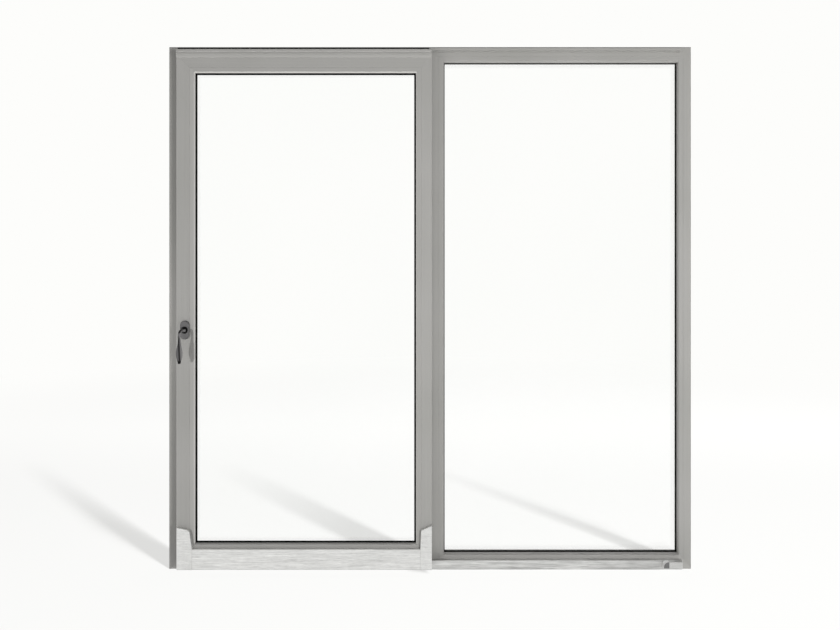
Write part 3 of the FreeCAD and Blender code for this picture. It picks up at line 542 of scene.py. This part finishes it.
# a skin's faces are turned outwards when the volume summed over them comes out negative
def outward(points, faces):
    a, b, c, d = (points[faces[:, corner]] for corner in range(4))
    volume = np.sum(a * np.cross(b, c)) + np.sum(a * np.cross(c, d))
    return faces if volume > 0.0 else faces[:, ::-1]


# mesh of a grid of points, closed along either direction when asked, with its first and last rows filled in
def gridMesh(name, points, closeRows, closeColumns, fillEnds=False):
    rows, columns = points.shape[:2]
    index = np.arange(rows * columns).reshape(rows, columns)
    down = np.arange(rows if closeRows else rows - 1)
    across = np.arange(columns if closeColumns else columns - 1)
    r, c = np.meshgrid(down, across, indexing="ij")
    below, beside = (r + 1) % rows, (c + 1) % columns
    corners = [index[r, c], index[below, c], index[below, beside], index[r, beside]]
    faces = np.stack(corners, axis=-1).reshape(-1, 4)
    flat = points.reshape(-1, 3)
    turned = outward(flat, faces) if closeColumns else faces
    ends = []
    if fillEnds:
        ends = [index[0], index[-1][::-1]] if turned is faces else [index[0][::-1], index[-1]]
    mesh = bpy.data.meshes.new(name)
    mesh.from_pydata(flat.tolist(), [], turned.tolist() + [end.tolist() for end in ends])
    mesh.update()
    return mesh


def addPiece(name, mesh):
    piece = bpy.data.objects.new(name, mesh)
    scene.collection.objects.link(piece)
    return piece


# rubber profiles carried round a rectangle: a section point is a share across the strip, from its outer to
# its inner edge, and a share of its depth, from its seat outwards; each corner of the path is a mitre;
# widths in millimetres at the left, bottom, right and top; side is -1 towards the room
sealLooks = {
    "leafLipRoom": {
        "node": "leaf_gasket_room", "widths": (14, 14, 15, 14), "flat": 0.58, "side": -1, "body": "leaf",
    },
    "leafLipOutside": {
        "node": "leaf_gasket_outside", "widths": (5, 5, 5, 5), "flat": 0.6, "side": 1, "body": "leaf",
    },
    "fixedLipRoom": {
        "node": "fixed_gasket_room", "widths": (11.2, 11, 12, 11), "flat": 0.7, "side": -1, "body": "frame",
    },
    "fixedLipOutside": {
        "node": "fixed_gasket_outside", "widths": (5, 5, 5, 5), "flat": 0.6, "side": 1, "body": "frame",
    },
    "openingBulb": {
        "node": "opening_seal", "widths": (8, 8, 8, 8), "flat": None, "side": -1, "body": "frame",
    },
}
millimetre = 0.001
lipSteps = 10
lipPower = 0.8
sharpAngle = math.radians(40.0)


def lipSection(flat):  # flat under the bead, then a quarter of a full ellipse down to the glass
    turn = np.linspace(0.0, np.pi / 2, lipSteps)
    across = flat + (1.0 - flat) * np.sin(turn) ** lipPower
    return np.concatenate([[[0.0, 0.0], [0.0, 1.0]], np.stack([across, np.cos(turn) ** lipPower], axis=-1)])


def bulbSection():  # half of an ellipse standing on the frame
    turn = np.linspace(0.0, np.pi, 2 * lipSteps)
    return np.stack([0.5 - 0.5 * np.cos(turn), np.sin(turn)], axis=-1)


def carryRound(look, section):
    low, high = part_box(look["node"])
    left, bottom, right, top = (millimetre * width for width in look["widths"])
    across, depth = section[:, 0], section[:, 1]
    leftX, rightX = low.x + left * across, high.x - right * across
    bottomZ, topZ = low.z + bottom * across, high.z - top * across
    x = np.stack([leftX, rightX, rightX, leftX])
    z = np.stack([bottomZ, bottomZ, topZ, topZ])
    seat, crown = (high.y, low.y) if look["side"] < 0 else (low.y, high.y)
    y = np.broadcast_to(seat + (crown - seat) * depth, x.shape)
    return np.stack([x, y, z], axis=-1)


# the top seal: a fin with a round crown, one section carried straight along the leaf
finLook = {"node": "top_seal", "shoulder": 0.72, "rise": 1.02, "toe": 1.2, "toeHeight": 0.28}


def carryAlong(look):  # a flat toe to the front, a straight side, half a turn over the crown, a straight back
    low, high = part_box(look["node"])
    turn = np.linspace(0.0, np.pi, 2 * lipSteps)
    reach, thick = -look["toe"], look["toeHeight"]
    across = np.concatenate([[reach, reach, 0.0], 0.5 - 0.5 * np.cos(turn), [1.0]])
    crown = look["shoulder"] + (look["rise"] - look["shoulder"]) * np.sin(turn)
    up = np.concatenate([[0.0, thick, thick], crown, [0.0]])
    x = np.broadcast_to(np.array([[low.x], [high.x]]), (2, len(across)))
    y = np.broadcast_to(low.y + (high.y - low.y) * across, x.shape)
    z = np.broadcast_to(low.z + (high.z - low.z) * up, x.shape)
    return np.stack([x, y, z], axis=-1)


# rubber pieces stand for their CAD nodes
def addSeal(name, points, closeRows, node, body):
    piece = addPiece(name, gridMesh(name, points, closeRows, True, not closeRows))
    piece.data.shade_smooth()
    piece.data.set_sharp_from_angle(angle=sharpAngle)
    dress(piece, finishes["rubber"])
    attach(piece, body)
    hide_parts(node)
    return piece


# pale floor: flat grid under the sill; it takes the window's shadow nearby and turns plain white further off
floorLook = {
    "reach": 40.0,
    "steps": 5,
    "drop": 0.0006,
    "albedo": 0.08,
    "glow": 0.713,
    "lift": 0.062,  # added to the glow behind the window, where the key strip's light gets weaker
    "liftFrom": (0.7, 2.5),
    "white": (0.982, 0.982, 0.966, 1.0),
    "fade": (3.2, 6.5),
}


def makeFloor():
    look = floorLook
    side = np.linspace(-look["reach"], look["reach"], look["steps"])
    x, y = np.meshgrid(side, side, indexing="ij")
    points = np.stack([x, y, np.full_like(x, -look["drop"])], axis=-1)
    floor = addPiece("floor", gridMesh("floor", points, False, False))
    material = bpy.data.materials.new("paleFloor")
    material.use_nodes = True
    tree = material.node_tree
    tree.nodes.clear()
    coords = addNode(tree, "ShaderNodeTexCoord").outputs["Object"]
    diffuse = addNode(tree, "ShaderNodeBsdfDiffuse", {"Color": (look["albedo"],) * 3 + (1.0,)})
    levels = (look["glow"], look["glow"] + look["lift"])
    lifted = ramp(tree, splitAxes(tree, coords)["Y"], look["liftFrom"], levels)
    glow = addNode(tree, "ShaderNodeEmission", {"Color": look["white"], "Strength": lifted})
    near = addNode(tree, "ShaderNodeAddShader", {0: diffuse.outputs[0], 1: glow.outputs[0]})
    far = addNode(tree, "ShaderNodeEmission", {"Color": look["white"], "Strength": 1.0})
    away = addNode(tree, "ShaderNodeVectorMath", {0: coords}, operation="LENGTH").outputs["Value"]
    fade = ramp(tree, away, look["fade"])
    mix = addNode(tree, "ShaderNodeMixShader", {0: fade, 1: near.outputs[0], 2: far.outputs[0]})
    addNode(tree, "ShaderNodeOutputMaterial", {"Surface": mix.outputs[0]})
    dress(floor, material)
    return floor


floor = makeFloor()
seals = [addSeal("topFin", carryAlong(finLook), False, finLook["node"], "leaf")]
for name, look in sealLooks.items():
    section = bulbSection() if look["flat"] is None else lipSection(look["flat"])
    seals.append(addSeal(name, carryRound(look, section), True, look["node"], look["body"]))
print("rubber profiles made:", len(seals))


# studio: white to the eye and in reflections; the light it sheds is stronger from the sides and from behind,
# weaker from overhead
studio = {
    "white": (0.982, 0.982, 0.966, 1.0),
    "front": 0.18,
    "sides": 0.4,
    "overhead": 0.5,
    "overheadFrom": (0.1, 0.6),
    "behind": 0.75,
    "behindFrom": (0.0, 0.6),
}


def makeWorld():
    world = bpy.data.worlds.new("studio")
    scene.world = world
    world.use_nodes = True
    tree = world.node_tree
    tree.nodes.clear()
    direction = splitAxes(tree, addNode(tree, "ShaderNodeTexCoord").outputs["Generated"])
    square = mathNode(tree, "MULTIPLY", direction["X"], direction["X"])
    around = mathNode(tree, "ADD", mathNode(tree, "MULTIPLY", square, studio["sides"]), studio["front"])
    height = ramp(tree, direction["Z"], studio["overheadFrom"], (1.0, studio["overhead"]))
    behind = ramp(tree, direction["Y"], studio["behindFrom"], (0.0, studio["behind"]))
    level = mathNode(tree, "ADD", mathNode(tree, "MULTIPLY", around, height), behind)
    shade = addNode(tree, "ShaderNodeBackground", {"Strength": level})
    white = addNode(tree, "ShaderNodeBackground", {"Color": studio["white"], "Strength": 1.0})
    path = addNode(tree, "ShaderNodeLightPath").outputs
    seen = mathNode(tree, "MAXIMUM", path["Is Camera Ray"], path["Is Glossy Ray"])
    seen = mathNode(tree, "MAXIMUM", seen, path["Is Transmission Ray"])
    mix = addNode(tree, "ShaderNodeMixShader", {0: seen, 1: shade.outputs[0], 2: white.outputs[0]})
    addNode(tree, "ShaderNodeOutputWorld", {"Surface": mix.outputs[0]})


makeWorld()

# lamps: a tall strip high on the right for the floor's shadows, one in front on either side, one close to the
# left jamb, two for the lock stile and its bead, a low strip for the sill, one overhead for the tops
lamps = {
    "keyStrip": {
        "place": (4.9, -5.6, 15.0), "aim": (0.0, 0.0, 0.4),
        "size": (0.6, 8.0), "power": 10050.0, "on": "floor",
    },
    "rightFront": {
        "place": (1.2, -2.9, 0.95), "aim": (0.3, 0.0, 0.95),
        "size": (0.5, 0.7), "power": 54.0, "on": "window",
    },
    "leftFront": {
        "place": (-1.62, -1.6, 0.93), "aim": (-0.9, -0.1, 0.93),
        "size": (0.05, 0.05), "power": 6.2, "on": "besides",
    },
    "jambLamp": {
        "place": (-1.16, -0.64, 0.9), "aim": (-0.9, -0.1, 0.9),
        "size": (0.05, 0.05), "power": 1.08, "on": "jamb",
    },
    "stileLamp": {
        "place": (-2.856, -4.545, 0.93), "aim": (-0.92, -0.085, 0.93),
        "size": (0.12, 0.12), "power": 119.0, "on": "stile",
    },
    "beadLamp": {
        "place": (4.8, -1.95, 0.93), "aim": (-0.9, -0.085, 0.93),
        "size": (0.4, 0.4), "power": 92.0, "on": "bead",
    },
    "sillStrip": {
        "place": (0.55, -1.6, 0.4), "aim": (0.5, 0.0, 0.05),
        "size": (1.2, 0.15), "power": 5.0, "on": "sill",
    },
    "overhead": {
        "place": (0.0, 0.9, 5.5), "aim": (0.0, 0.5, 0.0),
        "size": (2.4, 1.0), "power": 34.0, "on": "window",
    },
}
stileNames = ["lock_stile", "leaf_bead_left"]  # lit from the left, so that the lever's shadow shows
beadNames = ["leaf_bead_left"]
jambNames = ["left_jamb"]  # lit from near by, so that it fades towards its ends
sillNames = ["sill", "fixed_bead_bottom", "rail_stop", "rail_buffer"]  # low down behind the rail's lip
shadeNames = [  # the crossbars leave no shade on the floor
    "left_jamb", "right_jamb", "mullion", "meeting_stile",
    "fixed_bead_left", "fixed_bead_right", "leaf_bead_right",
]


def addLamp(name, look):
    data = bpy.data.lights.new(name, "AREA")
    data.shape = "RECTANGLE"
    data.size, data.size_y = look["size"]
    data.energy = look["power"]
    lamp = bpy.data.objects.new(name, data)
    scene.collection.objects.link(lamp)
    lamp.location = look["place"]
    lamp.rotation_euler = (Vector(look["aim"]) - Vector(look["place"])).to_track_quat("-Z", "Y").to_euler()
    lamp.visible_camera = False
    lamp.visible_glossy = False
    lamp.visible_transmission = False
    return lamp


def gather(name, pieces):
    collection = bpy.data.collections.new(name)
    for piece in pieces:
        collection.objects.link(piece)
    return collection


def piecesNamed(names):
    return [nodes[name] for name in names]


def piecesBut(names):
    return [piece for name, piece in nodes.items() if name not in names] + seals


lit = {
    "floor": gather("litFloor", [floor]),
    "window": gather("litWindow", piecesBut(stileNames)),
    "besides": gather("litBesides", piecesBut(stileNames + jambNames)),
    "stile": gather("litStile", piecesNamed(stileNames)),
    "bead": gather("litBead", piecesNamed(beadNames)),
    "jamb": gather("litJamb", piecesNamed(jambNames)),
    "sill": gather("litSill", piecesNamed(sillNames)),
}
shading = gather("shading", piecesNamed(shadeNames))
for name, look in lamps.items():
    lamp = addLamp(name, look)
    lamp.light_linking.receiver_collection = lit[look["on"]]
    if look["on"] == "floor":
        lamp.light_linking.blocker_collection = shading

# camera: level, straight on, a little above the middle
cameraLook = {
    "place": (0.0, -2.685, 1.1456),
    "lens": 29.65,
    "sensor": 36.0,
    "shift": (-0.012, -0.0536),
    "reach": 200.0,
}
cameraData = bpy.data.cameras.new("roomView")
cameraData.sensor_width = cameraLook["sensor"]
cameraData.lens = cameraLook["lens"]
cameraData.shift_x, cameraData.shift_y = cameraLook["shift"]
cameraData.clip_end = cameraLook["reach"]
camera = bpy.data.objects.new("roomView", cameraData)
camera.location = cameraLook["place"]
camera.rotation_euler = (math.pi / 2, 0.0, 0.0)
scene.collection.objects.link(camera)
scene.camera = camera
scene.view_settings.view_transform = "Standard"
print("studio, lamps and camera set")
